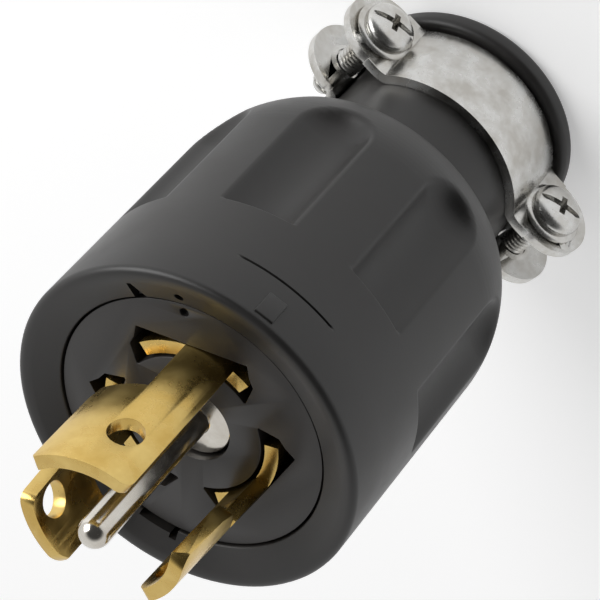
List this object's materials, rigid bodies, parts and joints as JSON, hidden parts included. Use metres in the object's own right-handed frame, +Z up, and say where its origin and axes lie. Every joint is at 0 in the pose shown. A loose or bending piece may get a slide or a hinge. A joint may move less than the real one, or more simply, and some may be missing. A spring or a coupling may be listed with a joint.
{
  "type": "locking power plug",
  "caption": "Locking power plug: hooked blades on a circle round an earth pin, ribbed round rubber cover and a screwed cord clamp.",
  "frame": {"origin": "middle of the rear end, at the cord entry, where the plug stands on its rear flange", "axes": "+Z up along the plug's axis, towards the blades; the first, wide blade is on the +Y side"},
  "size_m": [0.0506, 0.0506, 0.1055],
  "materials": {
    "black_rubber": "satin",
    "insert_plastic": "matte",
    "block_plastic": "matte",
    "blade_brass": "satin",
    "pin_nickel": "polished",
    "zinc_steel": "satin"
  },
  "bodies": {
    "root": {"rubber_cover": "black_rubber", "face_insert": "insert_plastic", "terminal_block": "block_plastic", "blade_1": "blade_brass", "blade_2": "blade_brass", "blade_3": "blade_brass", "earth_pin": "pin_nickel", "earth_strip": "blade_brass", "terminal_screw_1": "zinc_steel", "terminal_screw_2": "zinc_steel", "terminal_screw_3": "zinc_steel", "earth_screw": "zinc_steel", "pressure_plate_1": "zinc_steel", "pressure_plate_2": "zinc_steel", "pressure_plate_3": "zinc_steel", "earth_pressure_plate": "zinc_steel", "block_screw_1": "zinc_steel", "block_screw_2": "zinc_steel", "upper_saddle": "zinc_steel", "lower_saddle": "zinc_steel", "clamp_screw_left": "zinc_steel", "clamp_screw_right": "zinc_steel"}
  },
  "joints": []
}
